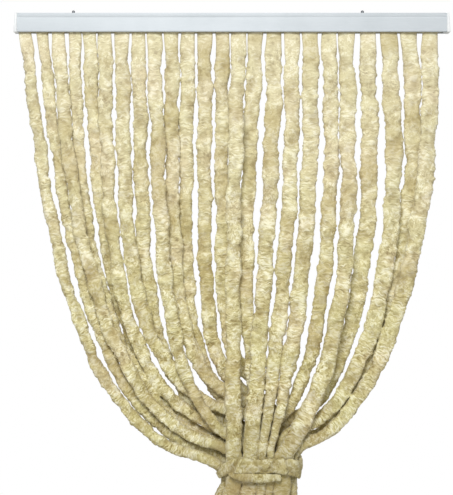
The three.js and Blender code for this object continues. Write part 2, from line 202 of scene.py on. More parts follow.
# %% Finish
class Finish:
    """A material, its main shader, and one way to add any other node."""

    def __init__(self, name, tint=(1, 1, 1), **fixed):
        self.tint = tint
        self.material = bpy.data.materials.new(name)
        self.material.use_nodes = True
        self.tree = self.material.node_tree
        self.shader = self.tree.nodes["Principled BSDF"]
        for key, value in fixed.items():
            self.shader.inputs[key.replace("_", " ")].default_value = value

    def node(self, kind, settings=None, values=None, out=0):
        """A node of a kind, its settings first, and then what its sockets get."""
        node = self.tree.nodes.new("ShaderNode" + kind)
        settings = dict(settings or {})
        for place, colour in settings.pop("stops", []):
            node.color_ramp.elements.new(place).color = colour
        for key, setting in settings.items():
            setattr(node, key, setting)
        for key, value in (values or {}).items():
            feed(node.inputs[key], value)
        return Wire(node.outputs[out])

    def ramp(self, value, stops):
        """Colours at places from 0 to 1. The ramp's own two ends take the outer colours."""
        stops = [(place, as_light(colour, self.tint)) for place, colour in stops]
        wire = self.node("ValToRGB", {"stops": stops}, {"Fac": value})
        elements = wire.socket.node.color_ramp.elements
        elements[0].color = stops[0][1]
        elements[len(elements) - 1].color = stops[-1][1]
        return wire

    def washed(self, wire, share, colour):
        """What a wire brings, with a share of a colour over it."""
        settings = {"data_type": "RGBA", "clamp_factor": True}
        values = {0: share, 6: wire, 7: as_light(colour, self.tint)}
        return self.node("Mix", settings, values, out=2)

    def noise(self, place, size, detail=2, roughness=0.5, distortion=0.0):
        """Cloudy noise whose blobs are about size across, in metres."""
        values = {"Vector": place, "Scale": 1 / size, "Detail": detail}
        values.update(Roughness=roughness, Distortion=distortion)
        return self.node("TexNoise", {}, values)

    def place(self, stretch=(1, 1, 1)):
        """Object coordinates in metres, divided by stretch along each axis."""
        here = self.node("TexCoord", out=3)
        scale = tuple(1 / s for s in stretch)
        return self.node("Mapping", {"vector_type": "POINT"}, {"Vector": here, "Scale": scale})

    def part(self, vector, axis):
        """One number out of a vector: axis 0, 1 or 2."""
        return self.node("SeparateXYZ", {}, {"Vector": vector}, out=axis)

    def kept(self, name):
        """A number that the mesh keeps for each of its points."""
        return self.node("Attribute", {"attribute_name": name}, out=2)

    def colour(self, wire):
        feed(self.shader.inputs["Base Color"], wire)

    def roughness(self, wire):
        feed(self.shader.inputs["Roughness"], wire)

    def bump(self, height, distance):
        normal = self.node("Bump", {}, {"Height": height, "Distance": distance, "Strength": 1.0})
        feed(self.shader.inputs["Normal"], normal)


print("finishes have:", [name for name in vars(Finish) if not name.startswith("_")])

# %% [markdown]
# Operators act on whatever is selected, so each step starts with nothing selected. The
# helpers below pick faces, edges or corners by where they lie and which way they look, as
# the hand would. Picking by number would be shorter, but numbers change with each cut.

# %% Picking
PARTS = {"FACE": "polygons", "EDGE": "edges", "VERT": "vertices"}


def only(piece):
    """Selects one object alone and makes it active."""
    if bpy.context.object and bpy.context.object.mode != "OBJECT":
        bpy.ops.object.mode_set(mode="OBJECT")
    bpy.ops.object.select_all(action="DESELECT")
    piece.select_set(True)
    bpy.context.view_layer.objects.active = piece


def pick(piece, wanted, kind="FACE"):
    """Selects the faces, edges or corners for which wanted is true, in edit mode."""
    only(piece)
    bpy.ops.object.mode_set(mode="EDIT")
    bpy.ops.mesh.select_mode(type=kind)
    bpy.ops.mesh.select_all(action="DESELECT")
    bpy.ops.object.mode_set(mode="OBJECT")
    for part in getattr(piece.data, PARTS[kind]):
        part.select = bool(wanted(part))
    bpy.ops.object.mode_set(mode="EDIT")


print("parts that can be picked:", list(PARTS))

# %% [markdown]
# A few steps come back with each piece: an extrusion by a move, a modifier that is
# applied at once, rounded edges, and smooth shading that keeps the sharp ones. A finished
# piece has its place baked into its mesh. It then gets its finish and is told which solids
# it stands for.

# %% Shaping and dressing
def extruded(x, y, z):
    """Extrudes what is selected by a move in millimetres."""
    move = {"value": (x * MM, y * MM, z * MM)}
    bpy.ops.mesh.extrude_region_move(TRANSFORM_OT_translate=move)


def applied(piece, kind, name, **settings):
    """Adds a modifier with its settings and applies it."""
    only(piece)
    modifier = piece.modifiers.new(name, kind)
    for key, value in settings.items():
        setattr(modifier, key, value)
    bpy.ops.object.modifier_apply(modifier=name)


def bevelled(piece, width, segments, angle):
    """Rounds the edges that turn by more than an angle in degrees."""
    applied(
        piece, "BEVEL", "edges", width=width * MM, segments=segments,
        limit_method="ANGLE", angle_limit=math.radians(angle),
    )


def smoothed(piece, angle):
    """Shades a piece smooth, but for edges that turn by more than an angle in degrees."""
    only(piece)
    bpy.ops.object.shade_smooth_by_angle(angle=math.radians(angle))


def settled(piece, name):
    """Gives a piece its name and bakes its place into its mesh."""
    only(piece)
    piece.name = piece.data.name = name
    bpy.ops.object.transform_apply(location=True, rotation=True, scale=True)
    return piece


def block(name, low, high):
    """A box between two corners in millimetres."""
    middle = [(a + b) / 2 * MM for a, b in zip(low, high)]
    size = [(b - a) * MM for a, b in zip(low, high)]
    bpy.ops.object.select_all(action="DESELECT")
    bpy.ops.mesh.primitive_cube_add(size=1, location=middle)
    bpy.context.object.scale = size
    return settled(bpy.context.object, name)


def dressed(piece, finish, slot, *nodes):
    """Gives a piece its finish, its body and the nodes that it stands for. The slot is not used.
    """
    piece.data.materials.clear()
    piece.data.materials.append(finish.material)
    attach(piece, "root")
    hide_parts(*nodes)
    piece.data.calc_loop_triangles()
    print(piece.name, "triangles:", len(piece.data.loop_triangles))


print("solids to stand for:", list(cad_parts))

# %% [markdown]
# The rail is an extruded aluminium channel, open along a slot in its underside. Its face
# has a very shallow groove near the top and a rounded bead along the bottom. It could be
# a profile swept along a line, but a box is as good: cuts at the groove, the bead and the
# slot give faces that can be pushed, pulled or removed. Solidify then gives the sheet its
# wall, as the die does, and a small bevel catches the light on each edge.

# %% Rail
RAIL_LENGTH, RAIL_HEIGHT, RAIL_DEPTH, RAIL_WALL = 886, 39, 25, 1.5
RAIL_TOP, RAIL_BOTTOM, RAIL_MIDDLE_Y = RAIL_HEIGHT / 2, -RAIL_HEIGHT / 2, -RAIL_DEPTH / 2
RAIL_ROUNDING = 0.25
SLOT_WIDTH = 14
GROOVE_DROP, GROOVE_HEIGHT, GROOVE_DEPTH = 8, 2, 0.3
BEAD_LIFT, BEAD_HEIGHT, BEAD_PROUD = 0.6, 4, 0.8

rail = block(
    "rail_channel",
    (-RAIL_LENGTH / 2, -RAIL_DEPTH, RAIL_BOTTOM),
    (RAIL_LENGTH / 2, 0, RAIL_TOP),
)
groove = (RAIL_TOP - GROOVE_DROP - GROOVE_HEIGHT, RAIL_TOP - GROOVE_DROP)
bead = (RAIL_BOTTOM + BEAD_LIFT, RAIL_BOTTOM + BEAD_HEIGHT)
for height in (*groove[::-1], *bead[::-1]):
    pick(rail, lambda face: True)
    bpy.ops.mesh.bisect(plane_co=(0, 0, height * MM), plane_no=(0, 0, 1))
for side in (-1, 1):
    pick(rail, lambda face: face.normal.z < -0.5)
    edge = (RAIL_MIDDLE_Y + side * SLOT_WIDTH / 2) * MM
    bpy.ops.mesh.bisect(plane_co=(0, edge, 0), plane_no=(0, 1, 0))


def open_in_rail(face):
    """True for the two ends, and for the underside between the lips of the slot."""
    off = abs(face.center.y - RAIL_MIDDLE_Y * MM)
    return abs(face.normal.x) > 0.5 or (face.normal.z < -0.5 and off < SLOT_WIDTH / 2 * MM)


pick(rail, open_in_rail)
bpy.ops.mesh.delete(type="FACE")
for (low, high), push in ((groove, GROOVE_DEPTH), (bead, -BEAD_PROUD)):
    pick(rail, lambda face: face.normal.y < -0.5 and low * MM < face.center.z < high * MM)
    extruded(0, push, 0)
bpy.ops.object.mode_set(mode="OBJECT")
applied(rail, "SOLIDIFY", "wall", thickness=RAIL_WALL * MM, offset=-1, use_even_offset=True)
bevelled(rail, RAIL_ROUNDING, segments=2, angle=40)
print("rail faces:", len(rail.data.polygons))

# %% [markdown]
# Two small steel studs hold the rail from above. Each is turned: a washer inside the
# channel, a shank through its top and a round head. Spinning an outline would do, but
# three stacked rounds are quicker to model upwards from the washer, by extruding the top
# face and scaling it. The rail gets a hole for each.

# %% Hanging studs
STUD_PLACES = {"hanger_left": -328, "hanger_right": 270}
WASHER_RADIUS, WASHER_THICKNESS, SHANK_RADIUS, HEAD_RADIUS = 5, 2, 1.8, 3.2
HEAD_STEPS = [(3.9, 1), (1.8, 0.82), (0.8, 0.6)]
HOLE_RADIUS, DRILL_LENGTH = 2.1, 5
STUD_SIDES, STUD_ROUNDING = 32, 0.2
GAP = 0.3


def stud(name, x):
    """Builds a stud from its washer up. A step is a rise and a factor on the radius."""
    washer_top = RAIL_TOP - RAIL_WALL - GAP
    place = (x * MM, RAIL_MIDDLE_Y * MM, (washer_top - WASHER_THICKNESS / 2) * MM)
    bpy.ops.object.select_all(action="DESELECT")
    bpy.ops.mesh.primitive_cylinder_add(
        vertices=STUD_SIDES, radius=WASHER_RADIUS * MM, depth=WASHER_THICKNESS * MM,
        location=place,
    )
    piece = settled(bpy.context.object, name + "_stud")
    pick(piece, lambda face: face.normal.z > 0.5)
    steps = [
        (0, SHANK_RADIUS / WASHER_RADIUS),
        (RAIL_WALL + 2 * GAP, 1),
        (0, HEAD_RADIUS / SHANK_RADIUS),
        *HEAD_STEPS,
    ]
    for up, factor in steps:
        extruded(0, 0, up)
        if factor != 1:
            bpy.ops.transform.resize(
                value=(factor, factor, 1), center_override=(x * MM, RAIL_MIDDLE_Y * MM, 0)
            )
    bpy.ops.object.mode_set(mode="OBJECT")
    bevelled(piece, STUD_ROUNDING, segments=2, angle=50)
    smoothed(piece, 40)
    return piece


def bored(piece, x):
    """Bores the rail's top for a stud."""
    bpy.ops.object.select_all(action="DESELECT")
    bpy.ops.mesh.primitive_cylinder_add(
        vertices=STUD_SIDES, radius=HOLE_RADIUS * MM, depth=DRILL_LENGTH * MM,
        location=(x * MM, RAIL_MIDDLE_Y * MM, RAIL_TOP * MM),
    )
    drill = bpy.context.object
    applied(piece, "BOOLEAN", "bore", operation="DIFFERENCE", object=drill, solver="EXACT")
    bpy.data.objects.remove(drill)


studs = {name: stud(name, x) for name, x in STUD_PLACES.items()}
for x in STUD_PLACES.values():
    bored(rail, x)
smoothed(rail, 35)
print("studs:", list(studs))

# %% [markdown]
# The end caps are moulded plastic. Each is a plate that grows thicker towards the bottom,
# with a plug inside the channel. Both could be boxes joined by a Boolean, but one box
# stays a clean shell: its lower outer edge is moved out, its edges are rounded, and its
# inner face is inset and extruded for the plug.

# %% End caps
CAP_TOP, CAP_BOTTOM, CAP_RIM, CAP_ROUNDING = 4, 7, 0.5, 1.1
PLUG_INSET, PLUG_LENGTH = 1.2, 6


def end_cap(name, side):
    """An end cap, for the rail's left end where side is -1 and for its right one at 1."""
    inner = RAIL_LENGTH / 2 + GAP
    across = sorted((side * inner, side * (inner + CAP_TOP)))
    low = (across[0], -RAIL_DEPTH - BEAD_PROUD - CAP_RIM, RAIL_BOTTOM - CAP_RIM)
    high = (across[1], 0, RAIL_TOP + CAP_RIM)
    cap = block(name, low, high)
    outer = (inner + CAP_TOP / 2) * MM
    pick(cap, lambda corner: corner.co.z < 0 and corner.co.x * side > outer, "VERT")
    bpy.ops.transform.translate(value=(side * (CAP_BOTTOM - CAP_TOP) * MM, 0, 0))
    bpy.ops.object.mode_set(mode="OBJECT")
    bevelled(cap, CAP_ROUNDING, segments=4, angle=40)
    pick(cap, lambda face: face.normal.x * side < -0.9)
    bpy.ops.mesh.inset(thickness=PLUG_INSET * MM)
    extruded(-side * PLUG_LENGTH, 0, 0)
    bpy.ops.object.mode_set(mode="OBJECT")
    smoothed(cap, 35)
    return cap


sides = {"end_cap_left": -1, "end_cap_right": 1}
caps = {name: end_cap(name + "_moulding", side) for name, side in sides.items()}
print("caps:", list(caps))

# %% [markdown]
# All the metal and plastic is pale. The rail is satin aluminium with a dull skin, so it
# reflects like paint more than like a mirror, and its finish is barely metallic. Fine
# drawing lines along its length shift its roughness a little and hardly change its
# colour. The caps are smooth moulded plastic with a faint grain, and the studs are dull
# steel, marked round by the lathe. A scratched image could be laid over each, but noise
# stretched along the piece needs no map and fits at any size.

# %% Finishes of the hard pieces
def drawn_aluminium():
    metal = Finish("drawn_aluminium", Metallic=0.05, Specular_IOR_Level=0.3)
    lines = metal.noise(metal.place((60, 1, 1)), 0.7 * MM, detail=3, roughness=0.6)
    clouds = metal.noise(metal.place(), 60 * MM)
    metal.colour(metal.ramp(lines * 0.5 + clouds * 0.5, [
        (0.3, (191, 198, 202)),
        (0.7, (203, 209, 213)),
    ]))
    metal.roughness(lines * 0.16 + 0.46)
    metal.bump(lines, 0.03 * MM)
    return metal


def moulded_plastic():
    plastic = Finish("moulded_plastic")
    grain = plastic.noise(plastic.place(), 0.5 * MM)
    clouds = plastic.noise(plastic.place(), 9 * MM)
    plastic.colour(plastic.ramp(clouds, [
        (0.35, (222, 225, 226)),
        (0.65, (232, 234, 234)),
    ]))
    plastic.roughness(grain * 0.15 + 0.38)
    plastic.bump(grain, 0.03 * MM)
    return plastic


def dull_steel():
    steel = Finish("dull_steel", Metallic=0.9)
    turning = steel.noise(steel.place((1, 1, 0.2)), 0.6 * MM, detail=3)
    steel.colour(steel.ramp(turning, [
        (0.35, (96, 98, 102)),
        (0.65, (132, 134, 138)),
    ]))
    steel.roughness(turning * 0.3 + 0.3)
    steel.bump(turning, 0.04 * MM)
    return steel


aluminium, plastic, steel = drawn_aluminium(), moulded_plastic(), dull_steel()
dressed(rail, aluminium, "rail", "rail")
for name, cap in caps.items():
    dressed(cap, plastic, "cap", name)
for name, piece in studs.items():
    dressed(piece, steel, "steel", name)

# %% [markdown]
# Chenille is a yarn whose short pile stands out from a twisted core, crosswise, and is
# then crushed, so that tufts lie in all directions. Light tufts look cream, the ones that
# lean away look like straw, and the hollows between them are brown: over the yarn's own
# straw, the finish paints these as highlights and shade. Hair could stand for the pile,
# but millions of fibres would be too much to export, so one finish paints the tufts and
# lifts them a little with bump. In some patches the pile still shows as strokes across
# the yarn, and elsewhere as round tufts. Over them lie slow drifts of hue, paler and
# softer cloth towards the top, and worn lengths that differ from strand to strand by the
# number that each mesh keeps. A point's relief, kept on the mesh as well, darkens the
# hollows as painted shade, and the mesh also keeps painted shade for the strands' edges,
# the crowded neck and the tie. The tie's finish is the yarn's, darkened as painted shade,
# a little yellower and more even.

# %% Chenille finish
STROKE_LENGTH, STROKE_WIDTH, STROKE_DRIFT, STROKE_BEND = 10, 3.2, 30, 0.016
BEND_SIZE, TUFT_SIZE, PATCH_SIZE, CRUSH_SIZE = 13 * MM, 6 * MM, 60 * MM, 24 * MM
HUE_SIZE, FIBRE_SIZE, PILE_HEIGHT = 90 * MM, 1.5 * MM, 1.4 * MM
TOP_SOFTENING, TOP_PALING, HUE_SHARE, WEAR, HOLLOW_SHADE = 0.2, 0.36, 0.2, 0.45, 0.42
WEAR_LANE, WEAR_PACE = 7.3, 9


def chenille(name, tint, crispness):
    """Crushed yarn. Tint darkens its colours, and crispness sets light from dark apart."""
    cloth = Finish(
        name, tint, Roughness=0.9, Specular_IOR_Level=0.2,
        Sheen_Weight=0.35, Sheen_Roughness=0.5, Sheen_Tint=(1.0, 0.95, 0.8, 1),
    )
    here = cloth.place()
    sideways, height = cloth.part(here, 0), cloth.part(here, 2)
    yarn = cloth.node("UVMap", {"uv_map": "yarn"})
    around, along = cloth.part(yarn, 0), cloth.part(yarn, 1)
    bent = along + cloth.noise(here, BEND_SIZE) * STROKE_BEND
    crosswise = cloth.node("CombineXYZ", {}, {
        "X": around * (1 / STROKE_LENGTH),
        "Y": bent * (1 / STROKE_WIDTH),
        "Z": sideways * (1 / STROKE_DRIFT),
    })
    strokes = cloth.noise(crosswise, MM, detail=1.5, distortion=0.3)
    tufts = cloth.noise(here, TUFT_SIZE, distortion=1.2)
    patches = cloth.noise(here, PATCH_SIZE).between(0.38, 0.58)
    pile = strokes * patches + tufts * (1 - patches)
    crushed = cloth.noise(here, CRUSH_SIZE)
    # Paler and softer towards the top: less contrast there, and a pale cream washed over the
    # colour.
    upper = height.between(-0.8, 0)
    tone = (pile - 0.5) * (crispness - upper * TOP_SOFTENING) + crushed * 0.5 + 0.25
    # Painted highlight and shade over the yarn's own straw: brown hollows, straw tufts that lean
    # away from the light, and cream tufts that catch it.
    lit_and_shaded_tufts = cloth.ramp(tone, [
        (0.28, (152, 134, 78)),
        (0.40, (202, 190, 134)),
        (0.53, (228, 219, 168)),
        (0.61, (253, 249, 216)),
    ])
    hue = cloth.noise(here, HUE_SIZE)
    rosy = cloth.washed(lit_and_shaded_tufts, hue.between(0.5, 0.66) * HUE_SHARE, (236, 212, 182))
    green = cloth.washed(rosy, (1 - hue.between(0.36, 0.5)) * HUE_SHARE, (218, 216, 152))
    paler_at_top = cloth.washed(green, upper * TOP_PALING, (232, 225, 208))
    lane = cloth.kept("number") * WEAR_LANE
    course = cloth.node("CombineXYZ", {}, {"X": lane, "Y": along * WEAR_PACE})
    worn = cloth.noise(course, 1).between(0.48, 0.68)
    browner = cloth.washed(paler_at_top, worn * WEAR, (182, 164, 104))
    # Painted shade: a share of brown goes over the colour where the kept relief is low, in the
    # pile's hollows and wherever the mesh keeps painted shade.
    deep = 1 - cloth.kept("relief").between(-0.3, 0.7)
    cloth.colour(cloth.washed(browner, deep * HOLLOW_SHADE, (132, 108, 58)))
    fibres = cloth.noise(cloth.place((1, 1, 0.5)), FIBRE_SIZE, roughness=0.6)
    cloth.bump(tone * 1.6 + fibres * 0.5, PILE_HEIGHT)
    return cloth


yarn_finish = chenille("chenille_yarn", tint=(1, 1, 1), crispness=0.95)
# The tie's finish is the yarn's, darkened as painted shade, a little yellower, and more even in
# tone.
tie_finish = chenille("chenille_tie", tint=(0.75, 0.73, 0.66), crispness=0.85)
print("finishes:", yarn_finish.material.name, tie_finish.material.name)

# %% [markdown]
# Every strand follows a law rather than a drawing. It leaves the strip straight down,
# swings in along a quarter of a rounded box, and turns down through the tie. Drawing 24
# curves by hand would be free, but a law keeps them alike and as far apart as cloth lies.
# The table has a row for each strand, from left to right: where its root is sewn and how
# wide it hangs, how boxy its bow is and how it closes on the neck, and how far it leans
# out. Then come its layer from front to back, its slot in the neck, how snug it is there,
# and the height where it enters. The solids were made from the same table, but for the
# widths of the first two strands, so each dressed strand lies in its own solid.

# %% Strand table
Strand = namedtuple("Strand", "root width bow close lean layer slot snug enter")
STRANDS = [
    Strand(-429, 24.5, 2.6, 0.5, 37, "upper", -65, 20.2, -896),
    Strand(-393, 23, 2.35, 0.5, 27, "lower", -65, 20.2, -884),
    Strand(-360, 27, 2.45, 0.5, 20, "upper", -43, 20.2, -871),
    Strand(-325, 24, 2.55, 0.5, 4, "lower", -43, 20.2, -869),
    Strand(-296, 28, 2.8, 0.5, 13, "back", -52, 25, -858),
    Strand(-264, 28, 3.75, 0.5, 7, "lower", -22, 20.2, -842),
    Strand(-228, 29, 4.2, 0.5, 6, "lower", 0, 20.2, -808),
    Strand(-194, 29, 4.8, 0.5, 7, "back", -26, 25, -826),
    Strand(-161, 29, 3.6, 0.5, 10, "upper", -22, 20.2, -856),
    Strand(-126, 29, 6, 0.5, 4, "lower", 22, 20.2, -788),
    Strand(-91, 29, 6.5, 0.5, -6, "back", 0, 25, -806),
    Strand(-56, 29, 8, 0.5, -1, "back", 26, 25, -780),
    Strand(-20, 29, 10, 0.5, 0, "back", 52, 25, -754),
    Strand(14, 30, 1.5, 1, -7, "front", -51, 31.5, -880),
    Strand(49, 30, 7, 0.5, -22, "upper", 0, 20.2, -830),
    Strand(87, 32, 1.5, 1, 1, "front", -19, 31, -880),
    Strand(124, 30, 2, 1, 1, "front", 5.3, 16.4, -880),
    Strand(161, 33, 2.6, 1, 0, "front", 21.1, 14, -880),
    Strand(200.5, 30, 2.9, 0.5, 4, "upper", 22, 20.2, -818),
    Strand(237, 32, 4.3, 1, 0, "front", 45.5, 34, -890),
    Strand(281, 34, 3.3, 0.5, 3, "lower", 43.4, 20.2, -820),
    Strand(324, 34, 3.3, 0.5, 9, "upper", 43, 20.2, -842),
    Strand(365, 34, 2.3, 0.5, 17, "lower", 65, 20.2, -862),
    Strand(410, 33, 2.1, 0.5, -1, "upper", 65, 20.2, -866),
]
LAYERS = {"front": -1.5, "upper": -0.5, "lower": 0.5, "back": 1.5}
print("strands:", len(STRANDS), "in", len(LAYERS), "layers")

# %% [markdown]
# The course of a strand is a soft line through a few points: some on its bow, some down
# through the tie, and some in the tail, which spreads a little. Blender's own curves
# would draw it, but the same line as in the solids is wanted, evenly measured along its
# length, so it is worked out here: a centripetal spline, which never overshoots.

# %% Course of a strand
STRIP_BOTTOM, STRIP_THICKNESS, ROOT_INSET = -17.7, 3, 1
ROOT_TOP = STRIP_BOTTOM + ROOT_INSET
TIE_TOP, TIE_HEIGHT, SECOND_WRAP_SAG = -886, 31, 24
TIE_LOWEST = TIE_TOP - TIE_HEIGHT - SECOND_WRAP_SAG / 2
NECK_X, NECK_Y = 55, -52
LAYER_PITCH, PARTING_START, PARTING_END, LEANING_END = 17, 0.02, 0.24, 0.36
BOW_ANGLES = np.radians([0, 10, 20, 29, 37, 45, 52, 60, 68, 76, 84])
CORNER_DROP, CORNER_SHORT, CORNER_END = 16, 0.018, 0.4
TAIL_SPREAD, TAIL_DRIFT, TAIL_SPREAD_START, TAIL_SPREAD_END = 1.22, -12, 10, 70
TAIL_DROPS = [20, 40, 60, 80, 140, 260, 480]


def ease(value, start, end):
    """0 before start, 1 after end, and smooth in between."""
    share = np.clip((value - start) / (end - start), 0, 1)
    return share * share * (3 - 2 * share)


def mix(first, second, share):
    return first + (second - first) * share


def depth_at(strand, z, spread=1.0):
    """How far out a strand lies at a height: the layers part, and all lean forward."""
    down = (ROOT_TOP - z) / (ROOT_TOP - TIE_TOP)
    parted = LAYERS[strand.layer] * LAYER_PITCH * ease(down, PARTING_START, PARTING_END)
    return mix(RAIL_MIDDLE_Y, NECK_Y, ease(down, PARTING_START, LEANING_END)) + parted * spread


def hanging_points(strand):
    """The points that a strand hangs on, from the strip to the underside of the tie."""
    neck_x = NECK_X + strand.slot
    down = np.sin(BOW_ANGLES) ** (2 / strand.bow)
    across = np.cos(BOW_ANGLES) ** (2 * strand.close)
    x = mix(neck_x, strand.root, across) + 4 * strand.lean * down * (1 - down)
    z = ROOT_TOP - (ROOT_TOP - strand.enter) * down
    corner = strand.enter - CORNER_DROP
    x = np.append(x, [mix(neck_x, strand.root, CORNER_SHORT), neck_x, neck_x])
    z = np.append(z, [corner, mix(corner, TIE_LOWEST, CORNER_END), TIE_LOWEST])
    return np.column_stack([x, depth_at(strand, z), z])


def tail_points(strand, length):
    """The points below the tie, where the strands spread a little."""
    drop = np.array([*TAIL_DROPS, length])
    opened = ease(drop, TAIL_SPREAD_START, TAIL_SPREAD_END)
    spread = mix(1, TAIL_SPREAD, opened)
    x = NECK_X + strand.slot * spread + TAIL_DRIFT * opened
    z = TIE_LOWEST - drop
    return np.column_stack([x, depth_at(strand, z, spread), z])


def soft_line(points, steps=40):
    """A centripetal spline through the points, as a fine chain and its running length."""
    ends = np.vstack([2 * points[0] - points[1], points, 2 * points[-1] - points[-2]])
    spans = np.sqrt(np.linalg.norm(np.diff(ends, axis=0), axis=1))
    share = np.linspace(0, 1, steps, endpoint=False)[:, None]
    chain = []
    for i in range(1, len(ends) - 2):
        before, start, stop, after = ends[i - 1 : i + 3]
        a, b, c = spans[i - 1 : i + 2]
        leave = ((start - before) / a - (stop - before) / (a + b) + (stop - start) / b) * b
        arrive = ((stop - start) / b - (after - start) / (b + c) + (after - stop) / c) * b
        square = -3 * start + 3 * stop - 2 * leave - arrive
        cube = 2 * start - 2 * stop + leave + arrive
        chain.append(start + leave * share + square * share**2 + cube * share**3)
    chain = np.vstack(chain + [points[-1:]])
    run = np.concatenate([[0], np.cumsum(np.linalg.norm(np.diff(chain, axis=0), axis=1))])
    return chain, run


lengths = [soft_line(hanging_points(s))[1][-1] for s in STRANDS]
print("length down to the tie, mm:", round(min(lengths)), "to", round(max(lengths)))

# %% [markdown]
# All strands start from one blank: a straight tube, cut finely along its length, whose
# ends get two rings each for their domes. Each strand is a copy of the blank whose points
# are moved onto the strand's course. A curve with a bevel would be quicker, but it can't
# narrow a strand in width alone, and the strands are flat. Subdivide makes at most a
# hundred cuts, so the long edges are cut into 66 lengths and each of those into ten.

# %% Yarn blank
AROUND = 26
ROUNDS_OF_CUTS = (65, 9)
END_RINGS, END_INSET = 2, 0.3


def runs_along(edge):
    """True for an edge that runs along the tube, and not round it."""
    first, last = (blank.data.vertices[v].co.z for v in edge.vertices)
    return abs(first - last) > 1e-5


bpy.ops.object.select_all(action="DESELECT")
bpy.ops.mesh.primitive_cylinder_add(vertices=AROUND, radius=1, depth=1, end_fill_type="NGON")
blank = bpy.context.object
blank.name = "yarn_blank"
for cuts in ROUNDS_OF_CUTS:
    pick(blank, runs_along, "EDGE")
    bpy.ops.mesh.subdivide(number_cuts=cuts)
for _ in range(END_RINGS):
    pick(blank, lambda face: face.center.xy.length < 0.05)
    bpy.ops.mesh.inset(thickness=END_INSET)
bpy.ops.object.mode_set(mode="OBJECT")
print("blank points:", len(blank.data.vertices), "faces:", len(blank.data.polygons))

# %% [markdown]
# The strokes of the finish have to follow the yarn, so each mesh gets a map that runs
# round the yarn and along it. Blender could unwrap the tube along a marked seam, but the
# places are known already, so they are written straight into the map, in metres. The map
# closes at the back, where the last face of a ring runs on past the girth.

# %% Yarn map
CIRCLE = 2 * np.pi


def points_of(mesh):
    """All points of a mesh, a row each."""
    values = np.empty(len(mesh.vertices) * 3)
    mesh.vertices.foreach_get("co", values)
    return values.reshape(-1, 3)


def set_points(mesh, place):
    """Moves the points of a mesh to places in millimetres."""
    mesh.vertices.foreach_set("co", (place * MM).ravel())
    mesh.update()


def keep_yarn_map(mesh, around, along, girth, length=1e6):
    """Writes the map from millimetres round and along the yarn, whole across its seams."""
    mesh.uv_layers[0].name = "yarn"
    corner = np.empty(len(mesh.loops), int)
    mesh.loops.foreach_get("vertex_index", corner)
    start, total = np.empty((2, len(mesh.polygons)), int)
    mesh.polygons.foreach_get("loop_start", start)
    mesh.polygons.foreach_get("loop_total", total)
    flat = np.empty((len(corner), 2))
    for column, (place, period) in enumerate(((around, girth), (along, length))):
        place = (place * np.ones(len(mesh.vertices)))[corner]
        furthest = np.repeat(np.maximum.reduceat(place, start), total)
        lap = np.broadcast_to(period, len(mesh.vertices))[corner]
        flat[:, column] = place + lap * (place < furthest - lap / 2)
    mesh.uv_layers[0].data.foreach_set("uv", (flat * MM).ravel())


print("map of the blank:", blank.data.uv_layers[0].name)

# %% [markdown]
# A strand is laid ring by ring. Each ring of the blank gets its place on the course, the
# course's own direction there, and a direction across it in the plane of the curtain. A
# Curve modifier would let the section roll as it likes, but this way the flat side of the
# strand always faces the room. There are more rings above the tie than below, where the
# tail is out of the photograph.

# %% Rings on a course
CUT_LENGTH = 1950
RINGS_ABOVE_TIE, FINE_PAST_TIE = 0.74, 40


def rings(strand, share):
    """For shares of the blank: arcs, the tie's arc, middles, sideways and along."""
    hanging = hanging_points(strand)
    tie_arc = soft_line(hanging)[1][-1]
    tail = tail_points(strand, CUT_LENGTH - tie_arc)
    chain, run = soft_line(np.vstack([hanging, tail]))
    arc = np.interp(share, [0, RINGS_ABOVE_TIE, 1], [0, tie_arc + FINE_PAST_TIE, CUT_LENGTH])
    middle, along = (
        np.column_stack([np.interp(arc, run, line[:, k]) for k in range(3)])
        for line in (chain, np.gradient(chain, run, axis=0))
    )
    side = np.column_stack([-along[:, 2], np.zeros(len(arc)), along[:, 0]])
    side /= np.linalg.norm(side, axis=1)[:, None]
    return arc, tie_arc, middle, side, along


first_arcs = rings(STRANDS[0], np.linspace(0, 1, 3))[0]
print("arcs at the top, middle and end of the first strand:", first_arcs.round().tolist())

# %% [markdown]
# A strand isn't even. Its width and its turn swell and fade, it sways a little from side
# to side, it narrows into the tie and fills out again below. The waves of each strand
# start at their own phase, a golden angle apart, so no two are alike. A random number
# would do too, but it sometimes makes two neighbours swell together. The section is a
# rounded box, and where it turns it is scaled back to the strand's own width and depth,
# so that it stays clear of its neighbours.

# %% Laying a strand
STRAND_THICKNESS, ROOT_THICKNESS, ROOT_FADE = 16.3, 9.6, 45
TOP_FULLNESS, TOP_FADE = 1.03, 380
WIDTH_WAVE, WIDTH_WAVE_LENGTH = 0.07, 118
SWAY, SWAY_LENGTH, TAIL_SWAY = 1.6, 190, 0.4
TILT, TURN_LENGTH = 0.16, 260
SQUARENESS = 2.5
NARROWING = {"front": 280, "upper": 400, "lower": 400, "back": 400}
NECK_FADE, NECK_SOFT, TAIL_FILL = 200, 70, 0.93
CROWDING_START, CROWDING_END, NECK_PILE = 420, 150, 1.8
SQUEEZE_START, SQUEEZE_END = 20, 120
TIED_SHADE, EDGE_SHADE, CROWDED_SHADE, SQUEEZED_SHADE, EDGE_POWER = 0.5, 0.3, 0.9, 1.1, 6
PILE_START, PILE_FULL, TIED_FREEDOM = 22.5, 72, 0.7
END_DOME, GIRTH_SHARE = 3.5, 0.85
GOLDEN_ANGLE = math.pi * (3 - math.sqrt(5))


def rounded(value, squareness):
    """A sine or cosine, pushed outwards so that a circle turns into a rounded box."""
    return np.sign(value) * np.abs(value) ** (2 / squareness)


